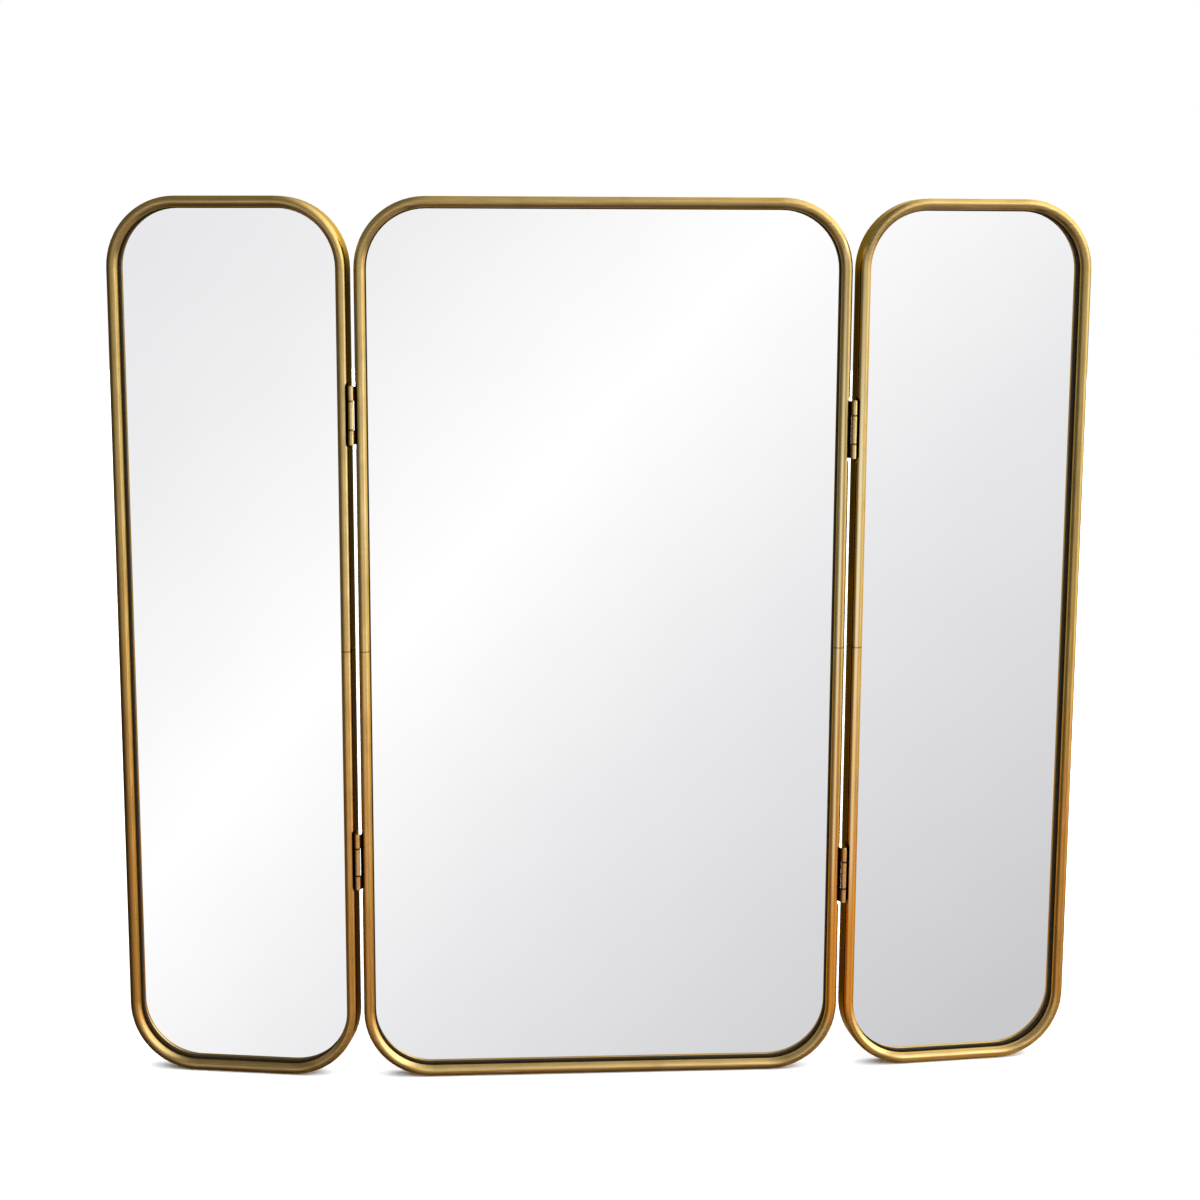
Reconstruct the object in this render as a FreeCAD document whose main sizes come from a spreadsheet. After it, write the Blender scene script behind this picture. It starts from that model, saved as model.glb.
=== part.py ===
"""Trifold vanity mirror: a centre panel and two wings that turn on butt hinges.

Millimetres. X runs across, +Y to the back, +Z up. The origin is the middle of the flat
underside of the centre frame's band, which stands on the table. A panel is drawn about its
own middle at the front of its bead, a hinge about the middle of its pin, and each piece is
then placed.
"""
import FreeCAD, Part
import math
import os
import re
import Sketcher
from FreeCAD import Placement, Rotation, Vector

SIZES = {
    "panel_height": 600,  # outside height of every panel
    "centre_width": 328,  # outside width of the centre panel
    "wing_width": 161,  # outside width of a wing
    "wing_gap": 5.4,  # between a wing and the centre panel when they lie flat
    "left_tilt": 10,  # degrees that the left wing stands back
    "right_tilt": 6,  # degrees that the right wing stands back
    "corner_radius": 47,  # outside radius of a panel's corners
    "bead_diameter": 7.3,  # round bead along the front of a frame
    "band_wall": 2,  # band behind the bead
    "back_recess": 1.7,  # back edge of the band behind the board
    "seam_height": 300,  # butt seam of each frame's bar, above the bottom
    "seam_width": 0.4,
    "seam_depth": 0.4,
    "edge_clearance": 0.5,  # band to the edges of glass, cushion and board
    "seal_thickness": 1.5,  # strip between the bead and the glass
    "seal_overhang": 0.6,  # strip that shows inside the bead
    "glass_thickness": 2,
    "cushion_thickness": 0.5,
    "board_thickness": 2.5,
    "left_upper_height": 458,  # middle of each hinge above the bottom
    "left_lower_height": 155,
    "right_upper_height": 448,
    "right_lower_height": 140.5,
    "hinge_length": 38,
    "leaf_thickness": 0.8,  # sheet that a leaf is rolled from
    "leaf_margin": 3,  # screw line to the back edge of a leaf
    "leaf_bend": 2.5,  # pin line to where the sheet meets the band
    "leaf_clearance": 0.1,  # leaf to the ends of its mortise
    "pin_diameter": 1.7,
    "pin_clearance": 0.05,  # pin to the wall of a knuckle
    "pin_proud": 0.3,  # pin line ahead of the front of the bead
    "pin_head_diameter": 2.8,
    "pin_head_height": 0.6,
    "knuckle_gap": 0.3,  # between neighbouring knuckles
    "knuckle_relief": 0.3,  # knuckle to the other leaf's sheet
    "notch_depth": 1.3,  # notch in the bead beside a hinge
    "notch_margin": 1,  # flat of the notch beyond each end of a hinge
    "notch_taper": 2.5,  # slope from the flat to the bead's full width
    "hinge_screw_diameter": 2,
    "hinge_screw_tip": 0.3,  # end of a screw inside the band
    "hinge_screw_pitch": 13,
    "screw_clearance": 0.05,  # screw to the wall of its hole
    "clip_length": 16,  # along the frame
    "clip_reach": 12,  # over the board
    "clip_thickness": 0.7,
    "clip_setback": 0.2,  # flange ahead of the band's back edge
    "clip_spacing": 380,  # between the two clips of a side
    "clip_screw_diameter": 2.5,
    "clip_screw_cover": 0.3,  # board left in front of a screw's end
    "clip_screw_head_diameter": 5,
    "clip_screw_head_height": 1,
}

# Distances that several pieces share, back from the front of the bead.
BEAD_LINE = "bead_diameter / 2"
GLASS_FRONT = "(bead_diameter + seal_thickness)"
CUSHION_FRONT = f"({GLASS_FRONT} + glass_thickness)"
BOARD_FRONT = f"({CUSHION_FRONT} + cushion_thickness)"
BOARD_BACK = f"({BOARD_FRONT} + board_thickness)"
FRAME_BACK = f"({BOARD_BACK} + back_recess)"
SCREW_LINE = f"(bead_diameter + {FRAME_BACK}) / 2"
LEAF_BACK = f"({SCREW_LINE} + leaf_margin)"
REST_LINE = f"({BEAD_LINE} + {FRAME_BACK}) / 2"
# Sizes that follow from others.
SCREW_HOLE = "(hinge_screw_diameter / 2 + screw_clearance)"
SCREW_END = "(band_wall + hinge_screw_tip)"
CLIP_SCREW_HOLE = "(clip_screw_diameter / 2 + screw_clearance)"
CLIP_SCREW_DEPTH = "(board_thickness - clip_screw_cover)"
PIN_BORE = "(pin_diameter / 2 + pin_clearance)"
KNUCKLE = f"({PIN_BORE} + leaf_thickness)"

LEFT, RIGHT = -1, 1
WIDTHS = {"centre": "centre_width", "left": "wing_width", "right": "wing_width"}
HINGES = {"left_upper": LEFT, "left_lower": LEFT, "right_upper": RIGHT, "right_lower": RIGHT}
WINGS = {LEFT: "left", RIGHT: "right"}

doc = FreeCAD.newDocument("TrifoldMirror")
sheet = doc.addObject("Spreadsheet::Sheet", "Sizes")
for row, (alias, value) in enumerate(SIZES.items(), start=1):
    sheet.set(f"A{row}", alias)
    sheet.set(f"B{row}", str(value))
    sheet.setAlias(f"B{row}", alias)
doc.recompute()

nodes = []


def on_sheet(formula):
    """The formula with each alias written as a cell of the sheet."""
    return re.sub(r"[a-z]\w+", lambda word: f"Sizes.{word.group()}", formula)


def size(formula):
    return float(sheet.evalExpression(on_sheet(formula)))


# ---- sketches ----


def new_body(name):
    body = doc.addObject("PartDesign::Body", name)
    body.Label = name
    return body


def new_sketch(body, role, name, lift="0"):
    """Sketch on one of the body's own planes, lifted along the plane's normal."""
    sketch = body.newObject("Sketcher::SketchObject", f"{body.Name}_{name}")
    origin_plane = next(f for f in body.Origin.OriginFeatures if f.Role == role)
    sketch.AttachmentSupport = [(origin_plane, "")]
    sketch.MapMode = "FlatFace"
    sketch.setExpression("AttachmentOffset.Base.z", on_sheet(lift))
    return sketch


def bind(sketch, kind, *where, to):
    """Dimension of the sketch that follows a formula."""
    index = sketch.addConstraint(Sketcher.Constraint(kind, *where, size(to)))
    sketch.renameConstraint(index, f"size{index}")
    sketch.setExpression(f"Constraints.size{index}", on_sheet(to))


def rounded_rectangle(sketch, width, height, radius):
    """Rounded rectangle about the sketch's origin, clockwise from its top edge."""
    x, y, r = size(width) / 2, size(height) / 2, size(radius)
    corners = [(x, y), (x, -y), (-x, -y), (-x, y)]
    start = len(sketch.Geometry)
    for turn, (corner_x, corner_y) in enumerate(corners):
        last_x, last_y = corners[turn - 1]
        step = Vector(corner_x - last_x, corner_y - last_y, 0).normalize() * r
        line_start = Vector(last_x, last_y, 0) + step
        line_end = Vector(corner_x, corner_y, 0) - step
        centre = Vector(math.copysign(x - r, corner_x), math.copysign(y - r, corner_y), 0)
        circle = Part.Circle(centre, Vector(0, 0, 1), r)
        low = -turn * math.pi / 2
        sketch.addGeometry(
            [Part.LineSegment(line_start, line_end), Part.ArcOfCircle(circle, low, low + math.pi / 2)]
        )
    top, right, bottom, left = (start + 2 * turn for turn in range(4))
    for line in (top, right, bottom, left):
        arc = line + 1
        after = start + (line - start + 2) % 8
        sketch.addConstraint(Sketcher.Constraint("Tangent", line, 2, arc, 2))
        sketch.addConstraint(Sketcher.Constraint("Tangent", arc, 1, after, 1))
    for line in (top, bottom):
        sketch.addConstraint(Sketcher.Constraint("Horizontal", line))
    for line in (right, left):
        sketch.addConstraint(Sketcher.Constraint("Vertical", line))
    for line in (right, bottom, left):
        sketch.addConstraint(Sketcher.Constraint("Equal", top + 1, line + 1))
    sketch.addConstraint(Sketcher.Constraint("Symmetric", top, 1, bottom, 1, -1, 1))
    bind(sketch, "Radius", top + 1, to=radius)
    bind(sketch, "DistanceX", left, 1, right, 1, to=width)
    bind(sketch, "DistanceY", bottom, 1, top, 1, to=height)


def polygon(sketch, points):
    """Closed outline through points that are pairs of formulas."""
    at = [Vector(size(x), size(y), 0) for x, y in points]
    start = len(sketch.Geometry)
    for index in range(len(at)):
        sketch.addGeometry(Part.LineSegment(at[index], at[(index + 1) % len(at)]))
    for index, (x, y) in enumerate(points):
        line, before = start + index, start + (index - 1) % len(at)
        sketch.addConstraint(Sketcher.Constraint("Coincident", before, 2, line, 1))
        bind(sketch, "DistanceX", -1, 1, line, 1, to=x)
        bind(sketch, "DistanceY", -1, 1, line, 1, to=y)


def rectangle(sketch, low_x, low_y, high_x, high_y):
    polygon(sketch, [(low_x, low_y), (high_x, low_y), (high_x, high_y), (low_x, high_y)])


def circle(sketch, x, y, radius):
    index = sketch.addGeometry(
        Part.Circle(Vector(size(x), size(y), 0), Vector(0, 0, 1), size(radius))
    )
    bind(sketch, "Radius", index, to=radius)
    bind(sketch, "DistanceX", -1, 1, index, 3, to=x)
    bind(sketch, "DistanceY", -1, 1, index, 3, to=y)


def upright_line(sketch, x, length):
    """Construction line for an axis, upwards from the sketch's own X axis. Returns its name."""
    foot = Vector(size(x), 0, 0)
    line = Part.LineSegment(foot, foot + Vector(0, size(length), 0))
    index = sketch.addGeometry(line, True)
    sketch.addConstraint(Sketcher.Constraint("PointOnObject", index, 1, -1))
    sketch.addConstraint(Sketcher.Constraint("Vertical", index))
    bind(sketch, "DistanceX", -1, 1, index, 1, to=x)
    bind(sketch, "DistanceY", index, 1, index, 2, to=length)
    return "Axis0"


# ---- features ----


def pad(body, sketch, length, backwards=False, symmetric=False):
    feature = body.newObject("PartDesign::Pad", f"{sketch.Name}_pad")
    feature.Profile = sketch
    feature.Reversed = backwards
    if symmetric:
        feature.SideType = "Symmetric"
    feature.setExpression("Length", on_sheet(length))


def pocket(body, sketch, length, backwards=False, symmetric=False):
    """Pocket that has to take something off the body."""
    doc.recompute()
    before = body.Shape.Volume
    feature = body.newObject("PartDesign::Pocket", f"{sketch.Name}_pocket")
    feature.Profile = sketch
    feature.Reversed = backwards
    if symmetric:
        feature.SideType = "Symmetric"
    feature.setExpression("Length", on_sheet(length))
    doc.recompute()
    if body.Shape.Volume >= before:
        raise RuntimeError(f"{feature.Name} cuts nothing")


def revolve(body, sketch):
    """Turns a profile about the body's own Z axis."""
    feature = body.newObject("PartDesign::Revolution", f"{sketch.Name}_turn")
    feature.Profile = sketch
    feature.ReferenceAxis = (sketch, ["V_Axis"])


# ---- where things are ----


def hinge_heights(panel):
    """Side of the panel and height above its middle, for each of its hinges."""
    for hinge, side in HINGES.items():
        if panel in ("centre", WINGS[side]):
            edge = side if panel == "centre" else -side
            yield hinge, edge, f"({hinge}_height - panel_height / 2)"


def pin_line(side):
    """Foot of the pin line on one side of the centre panel."""
    return Vector(
        side * size("(centre_width + wing_gap) / 2"), -size(f"pin_proud + {REST_LINE}"), 0
    )


def panel_placement(panel):
    """A panel's middle, with a wing turned about its pin line."""
    half_height = Vector(0, 0, size("panel_height / 2"))
    if panel == "centre":
        return Placement(half_height - Vector(0, size(REST_LINE), 0), Rotation())
    side = LEFT if panel == "left" else RIGHT
    to_pin = Vector(-side * size("(wing_width + wing_gap) / 2"), -size("pin_proud"), 0)
    turn = Rotation(Vector(0, 0, 1), side * size(f"{panel}_tilt"))
    return Placement(half_height + pin_line(side) - turn.multVec(to_pin), turn)


def finish(body, panel=None, placement=None):
    """Places a piece and lists it as a node."""
    body.Placement = panel_placement(panel) if panel else placement
    nodes.append(body)


# ---- frames ----


def make_frame(panel):
    body = new_body(f"{panel}_frame")
    width, height = WIDTHS[panel], "panel_height"

    band = new_sketch(body, "XZ_Plane", "band", f"-{BEAD_LINE}")
    rounded_rectangle(band, width, height, "corner_radius")
    wall = "2 * band_wall"
    rounded_rectangle(band, f"{width} - {wall}", f"{height} - {wall}", "corner_radius - band_wall")
    pad(body, band, f"{FRAME_BACK} - {BEAD_LINE}", backwards=True)

    spine = new_sketch(body, "XZ_Plane", "bead_line", f"-{BEAD_LINE}")
    inset = "bead_diameter"
    rounded_rectangle(spine, f"{width} - {inset}", f"{height} - {inset}", f"corner_radius - {BEAD_LINE}")
    section = new_sketch(body, "YZ_Plane", "bead_section", f"corner_radius - {width} / 2")
    circle(section, BEAD_LINE, f"{height} / 2 - {BEAD_LINE}", BEAD_LINE)
    bead = body.newObject("PartDesign::AdditivePipe", f"{body.Name}_bead")
    bead.Profile = section
    bead.Spine = (spine, [])

    cut_mortises(body, panel)
    cut_notches(body, panel)
    cut_screw_holes(body, panel)
    cut_seam(body, panel)
    finish(body, panel)


def cut_mortises(body, panel):
    """Seats that let the hinge leaves in flush with the band."""
    sketch = new_sketch(body, "XZ_Plane", "mortises")
    half = "(hinge_length / 2 + leaf_clearance)"
    for _hinge, edge, height in hinge_heights(panel):
        floor = f"{edge} * ({WIDTHS[panel]} / 2 - leaf_thickness)"
        outside = f"{edge} * ({WIDTHS[panel]} / 2 + leaf_thickness)"
        rectangle(sketch, floor, f"{height} - {half}", outside, f"{height} + {half}")
    pocket(body, sketch, f"{LEAF_BACK} + leaf_clearance")


def cut_notches(body, panel):
    """Notches with sloping ends that give the knuckles room beside the bead."""
    sketch = new_sketch(body, "XZ_Plane", "notches")
    flat = "(hinge_length / 2 + notch_margin)"
    slope = f"({flat} + 2 * notch_taper)"
    for _hinge, edge, height in hinge_heights(panel):
        floor = f"{edge} * ({WIDTHS[panel]} / 2 - notch_depth)"
        outside = f"{edge} * ({WIDTHS[panel]} / 2 + notch_depth)"
        polygon(
            sketch,
            [
                (floor, f"{height} - {flat}"),
                (outside, f"{height} - {slope}"),
                (outside, f"{height} + {slope}"),
                (floor, f"{height} + {flat}"),
            ],
        )
    pocket(body, sketch, "bead_diameter")


def cut_screw_holes(body, panel):
    """Holes through the band for the hinge screws."""
    for side in sorted({edge for _hinge, edge, _height in hinge_heights(panel)}):
        name = "left_screws" if side == LEFT else "right_screws"
        sketch = new_sketch(body, "YZ_Plane", name, f"{side} * {WIDTHS[panel]} / 2")
        for _hinge, edge, height in hinge_heights(panel):
            if edge == side:
                for step in (-1, 0, 1):
                    circle(sketch, SCREW_LINE, f"{height} + {step} * hinge_screw_pitch", SCREW_HOLE)
        pocket(body, sketch, "2 * band_wall", backwards=side == LEFT)


def cut_seam(body, panel):
    """Fine butt seam around the bead and across the band, on one hinged side."""
    edge = next(edge for _hinge, edge, _height in hinge_heights(panel))
    middle = "(seam_height - panel_height / 2)"
    low, high = f"{middle} - seam_width / 2", f"{middle} + seam_width / 2"
    lift = f"{edge} * ({WIDTHS[panel]} / 2 - {BEAD_LINE})"
    ring = new_sketch(body, "YZ_Plane", "seam_ring", lift)
    rectangle(ring, "-seam_depth", low, "seam_depth", high)
    bead_line = upright_line(ring, BEAD_LINE, "bead_diameter")
    groove = body.newObject("PartDesign::Groove", f"{body.Name}_seam")
    groove.Profile = ring
    groove.ReferenceAxis = (ring, [bead_line])
    slit = new_sketch(body, "XZ_Plane", "seam_slit", f"-{BEAD_LINE}")
    face = f"{edge} * ({WIDTHS[panel]} / 2 - seam_depth)"
    outside = f"{edge} * ({WIDTHS[panel]} / 2 + seam_depth)"
    rectangle(slit, face, low, outside, high)
    pocket(body, slit, FRAME_BACK)


# ---- what the frames hold ----


def make_sheet(panel, name, front, thickness):
    """Glass, cushion or board: a sheet that fills the band with a clearance all round."""
    body = new_body(f"{panel}_{name}")
    inset = "(band_wall + edge_clearance)"
    sketch = new_sketch(body, "XZ_Plane", "outline", f"-{front}")
    rounded_rectangle(
        sketch,
        f"{WIDTHS[panel]} - 2 * {inset}",
        f"panel_height - 2 * {inset}",
        f"corner_radius - {inset}",
    )
    pad(body, sketch, thickness, backwards=True)
    return body


def make_seal(panel):
    """Strip round the glass that keeps it off the bead and shows as a fine line inside it."""
    body = make_sheet(panel, "seal", "bead_diameter", "seal_thickness")
    inset = "(bead_diameter + seal_overhang)"
    sketch = new_sketch(body, "XZ_Plane", "opening", "-bead_diameter")
    rounded_rectangle(
        sketch,
        f"{WIDTHS[panel]} - 2 * {inset}",
        f"panel_height - 2 * {inset}",
        f"corner_radius - {inset}",
    )
    pocket(body, sketch, "seal_thickness")
    finish(body, panel)


def clip_places(panel):
    """Direction along Y's turn and the point on the band for each clip of a panel."""
    across, up = size(WIDTHS[panel]) / 2, size("panel_height") / 2
    wall, back = size("band_wall"), size(BOARD_BACK)
    reach = size("clip_spacing") / 2
    for level in (-reach, reach):
        yield 0, Vector(wall - across, back, level)
        yield 180, Vector(across - wall, back, level)
    for x in (-across / 2, across / 2) if panel == "centre" else (0,):
        yield 90, Vector(x, back, up - wall)
        yield -90, Vector(x, back, wall - up)


def make_board(panel):
    body = make_sheet(panel, "board", BOARD_FRONT, "board_thickness")
    sketch = new_sketch(body, "XZ_Plane", "clip_screws", f"-{BOARD_BACK}")
    inward = "(band_wall + clip_reach / 2)"
    side = f"({WIDTHS[panel]} / 2 - {inward})"
    top = f"(panel_height / 2 - {inward})"
    for level in ("-clip_spacing / 2", "clip_spacing / 2"):
        circle(sketch, f"-{side}", level, CLIP_SCREW_HOLE)
        circle(sketch, side, level, CLIP_SCREW_HOLE)
    for x in (f"-{WIDTHS[panel]} / 4", f"{WIDTHS[panel]} / 4") if panel == "centre" else ("0",):
        circle(sketch, x, top, CLIP_SCREW_HOLE)
        circle(sketch, x, f"-{top}", CLIP_SCREW_HOLE)
    pocket(body, sketch, f"{CLIP_SCREW_DEPTH} + screw_clearance", backwards=True)
    finish(body, panel)


# ---- hinges ----


def hinge_placement(hinge, panel):
    """A hinge's middle on its pin line. A leaf is drawn on +X and turned over for -X."""
    side = HINGES[hinge]
    at = pin_line(side) + Vector(0, 0, size(f"{hinge}_height"))
    tilt = side * size(f"{WINGS[side]}_tilt") if panel != "centre" else 0
    faces_right = (side == LEFT) == (panel == "centre")
    over = Rotation(Vector(0, 1, 0), 0 if faces_right else 180)
    return Placement(at, Rotation(Vector(0, 0, 1), tilt) * over)


def make_leaf(hinge, panel):
    """Sheet that is rolled round the pin: two outer knuckles on the centre panel, one on a wing."""
    body = new_body(f"{hinge}_leaf_{'fixed' if panel == 'centre' else 'wing'}")
    near, far = "wing_gap / 2", "wing_gap / 2 + leaf_thickness"
    back = f"{LEAF_BACK} + pin_proud"
    sheet_section = new_sketch(body, "XY_Plane", "sheet")
    polygon(
        sheet_section,
        [
            (KNUCKLE, "0"),
            (far, "leaf_bend"),
            (far, back),
            (near, back),
            (near, "leaf_bend"),
            (f"{KNUCKLE} - leaf_thickness", "0"),
        ],
    )
    pad(body, sheet_section, "hinge_length", symmetric=True)
    barrel = new_sketch(body, "XY_Plane", "barrel")
    circle(barrel, "0", "0", KNUCKLE)
    pad(body, barrel, "hinge_length", symmetric=True)
    bore = new_sketch(body, "XY_Plane", "bore")
    circle(bore, "0", "0", PIN_BORE)
    pocket(body, bore, "2 * hinge_length", symmetric=True)

    gaps = new_sketch(body, "XZ_Plane", "knuckle_gaps")
    low_x, high_x = f"-{KNUCKLE} - knuckle_relief", f"{KNUCKLE} + knuckle_relief"
    if panel == "centre":
        half = "(hinge_length / 4 + knuckle_gap / 2)"
        rectangle(gaps, low_x, f"-{half}", high_x, half)
    else:
        half = "(hinge_length / 4 - knuckle_gap / 2)"
        rectangle(gaps, low_x, half, high_x, "hinge_length")
        rectangle(gaps, low_x, "-hinge_length", high_x, f"-{half}")
    pocket(body, gaps, "2 * (leaf_bend + knuckle_relief)", symmetric=True)

    for step in (-1, 0, 1):
        sink = body.newObject("PartDesign::SubtractiveCone", f"{body.Name}_sink{step + 1}")
        origin_plane = next(f for f in body.Origin.OriginFeatures if f.Role == "YZ_Plane")
        sink.AttachmentSupport = [(origin_plane, "")]
        sink.MapMode = "FlatFace"
        sink.setExpression("AttachmentOffset.Base.x", on_sheet(f"{SCREW_LINE} + pin_proud"))
        sink.setExpression("AttachmentOffset.Base.y", on_sheet(f"{step} * hinge_screw_pitch"))
        sink.setExpression("AttachmentOffset.Base.z", on_sheet(near))
        sink.setExpression("Radius1", on_sheet(f"{SCREW_HOLE} + leaf_thickness"))
        sink.setExpression("Radius2", on_sheet(SCREW_HOLE))
        sink.setExpression("Height", on_sheet("leaf_thickness"))
    finish(body, placement=hinge_placement(hinge, panel))


def make_pin(hinge):
    """Pin with a riveted head on the outer knuckles at each end."""
    body = new_body(f"{hinge}_pin")
    profile = new_sketch(body, "XZ_Plane", "profile")
    end, top = "hinge_length / 2", "(hinge_length / 2 + pin_head_height)"
    head, round_off = "pin_head_diameter / 2", "pin_head_height / 2"
    upper = [
        ("pin_diameter / 2", end),
        (head, end),
        (head, f"{top} - {round_off}"),
        (f"{head} - {round_off}", top),
        ("0", top),
    ]
    lower = [(x, f"-({z})") for x, z in reversed(upper)]
    polygon(profile, lower + upper)
    revolve(body, profile)
    finish(body, placement=hinge_placement(hinge, "centre"))


# ---- fasteners, grouped by panel ----


def make_hinge_screw():
    """Countersunk screw: its head is as deep as a leaf is thick, its axis is +Z."""
    body = new_body("hinge_screw")
    profile = new_sketch(body, "XZ_Plane", "profile")
    shank = "hinge_screw_diameter / 2"
    polygon(
        profile,
        [
            ("0", "0"),
            (f"{shank} + leaf_thickness", "0"),
            (shank, "leaf_thickness"),
            (shank, SCREW_END),
            ("0", SCREW_END),
        ],
    )
    revolve(body, profile)
    return body


def make_clip_screw():
    """Pan-headed screw: the underside of its head is at z = 0, its shank runs to +Z."""
    body = new_body("clip_screw")
    profile = new_sketch(body, "XZ_Plane", "profile")
    shank, head = "clip_screw_diameter / 2", "clip_screw_head_diameter / 2"
    end = f"clip_thickness + {CLIP_SCREW_DEPTH}"
    polygon(
        profile,
        [
            ("0", "-clip_screw_head_height"),
            (f"{head} - clip_screw_head_height / 2", "-clip_screw_head_height"),
            (head, "-clip_screw_head_height / 2"),
            (head, "0"),
            (shank, "0"),
            (shank, end),
            ("0", end),
        ],
    )
    revolve(body, profile)
    return body


def make_clip():
    """Angle clip: a flange along the band and a foot over the board, length along Z."""
    body = new_body("clip")
    section = new_sketch(body, "XY_Plane", "section")
    flange = "back_recess - clip_setback"
    polygon(
        section,
        [
            ("0", "0"),
            ("clip_reach", "0"),
            ("clip_reach", "clip_thickness"),
            ("clip_thickness", "clip_thickness"),
            ("clip_thickness", flange),
            ("0", flange),
        ],
    )
    pad(body, section, "clip_length", symmetric=True)
    hole = new_sketch(body, "XZ_Plane", "hole")
    circle(hole, "clip_reach / 2", "0", CLIP_SCREW_HOLE)
    pocket(body, hole, "clip_thickness")
    return body


def make_group(name, piece, places, panel):
    """Copies of one fastener in a panel, kept as one node of separate solids."""
    links = []
    for index, place in enumerate(places):
        link = doc.addObject("App::Link", f"{name}_{index}")
        link.LinkedObject = piece
        link.Placement = place
        links.append(link)
    group = doc.addObject("Part::Compound", name)
    group.Label = name
    group.Links = links
    finish(group, panel)


def hinge_screw_places(panel):
    """Heads flush with the leaves, ends just through the band."""
    half = size(WIDTHS[panel]) / 2
    for _hinge, edge, height in hinge_heights(panel):
        for step in (-1, 0, 1):
            level = size(f"{height} + {step} * hinge_screw_pitch")
            inwards = Rotation(Vector(0, 0, 1), Vector(-edge, 0, 0))
            yield Placement(Vector(edge * half, size(SCREW_LINE), level), inwards)


def clip_screw_places(panel):
    forwards = Rotation(Vector(0, 0, 1), Vector(0, -1, 0))
    inward = Vector(size("clip_reach") / 2, size("clip_thickness"), 0)
    for angle, point in clip_places(panel):
        turn = Rotation(Vector(0, 1, 0), angle)
        yield Placement(point + turn.multVec(inward), forwards)


hinge_screw, clip_screw, clip = make_hinge_screw(), make_clip_screw(), make_clip()
for panel_name in WIDTHS:
    make_frame(panel_name)
    make_seal(panel_name)
    finish(make_sheet(panel_name, "glass", GLASS_FRONT, "glass_thickness"), panel_name)
    finish(make_sheet(panel_name, "cushion", CUSHION_FRONT, "cushion_thickness"), panel_name)
    make_board(panel_name)
    clips = [Placement(at, Rotation(Vector(0, 1, 0), angle)) for angle, at in clip_places(panel_name)]
    make_group(f"{panel_name}_clips", clip, clips, panel_name)
    make_group(f"{panel_name}_clip_screws", clip_screw, clip_screw_places(panel_name), panel_name)
    make_group(f"{panel_name}_hinge_screws", hinge_screw, hinge_screw_places(panel_name), panel_name)
for hinge_name, hinge_side in HINGES.items():
    make_leaf(hinge_name, "centre")
    make_leaf(hinge_name, WINGS[hinge_side])
    make_pin(hinge_name)

doc.recompute()
for thing in doc.Objects:
    if "Invalid" in thing.State or "Error" in thing.State:
        raise RuntimeError(f"{thing.Name} failed: {thing.State}")
for node in nodes:
    if node.Shape.isNull() or not node.Shape.isValid():
        raise RuntimeError(f"{node.Label} is not a valid shape")
os.makedirs("parts", exist_ok=True)
for node in nodes:
    node.Shape.exportStep(f"parts/{node.Label}.step")
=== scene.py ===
"""Trifold vanity mirror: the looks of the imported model, in metres, in the model's own frame."""
import math
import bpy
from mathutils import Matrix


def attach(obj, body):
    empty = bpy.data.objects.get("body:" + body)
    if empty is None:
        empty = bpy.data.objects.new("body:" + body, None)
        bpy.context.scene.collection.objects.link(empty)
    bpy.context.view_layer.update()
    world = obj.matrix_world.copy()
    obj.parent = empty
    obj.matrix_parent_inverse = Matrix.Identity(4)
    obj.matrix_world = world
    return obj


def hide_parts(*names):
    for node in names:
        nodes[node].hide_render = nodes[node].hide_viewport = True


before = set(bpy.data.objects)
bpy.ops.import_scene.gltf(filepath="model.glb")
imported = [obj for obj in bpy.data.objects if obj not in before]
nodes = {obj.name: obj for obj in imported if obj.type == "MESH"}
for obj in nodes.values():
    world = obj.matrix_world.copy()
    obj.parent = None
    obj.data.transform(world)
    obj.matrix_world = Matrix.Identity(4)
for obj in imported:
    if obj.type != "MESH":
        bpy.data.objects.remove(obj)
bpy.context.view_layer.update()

from types import SimpleNamespace

import bmesh
import bpy
from mathutils import Matrix, Vector
from mathutils.geometry import tessellate_polygon

# What each panel's nodes are called, and the body that they ride on.
PANELS = {"centre": "centre", "left": "left_wing", "right": "right_wing"}

# Each panel's own frame, from the record: a wing turns about its hinge line, and rests tilted back.
WING_TILT = {"centre": 0, "left_wing": math.radians(-10), "right_wing": math.radians(6)}
HINGE_X, HINGE_Y = 0.1667, -0.009875
PIVOT = {
    "centre": (0, HINGE_Y, 0),
    "left_wing": (-HINGE_X, HINGE_Y, 0),
    "right_wing": (HINGE_X, HINGE_Y, 0),
}

# Each panel's outline, in its own frame.
MIDDLE = {"centre": 0.0, "left_wing": -0.0832, "right_wing": 0.0832}
HALF_WIDTH = {"centre": 0.164, "left_wing": 0.0805, "right_wing": 0.0805}
HALF_HEIGHT = 0.300
CORNER_RADIUS = 0.047


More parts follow.
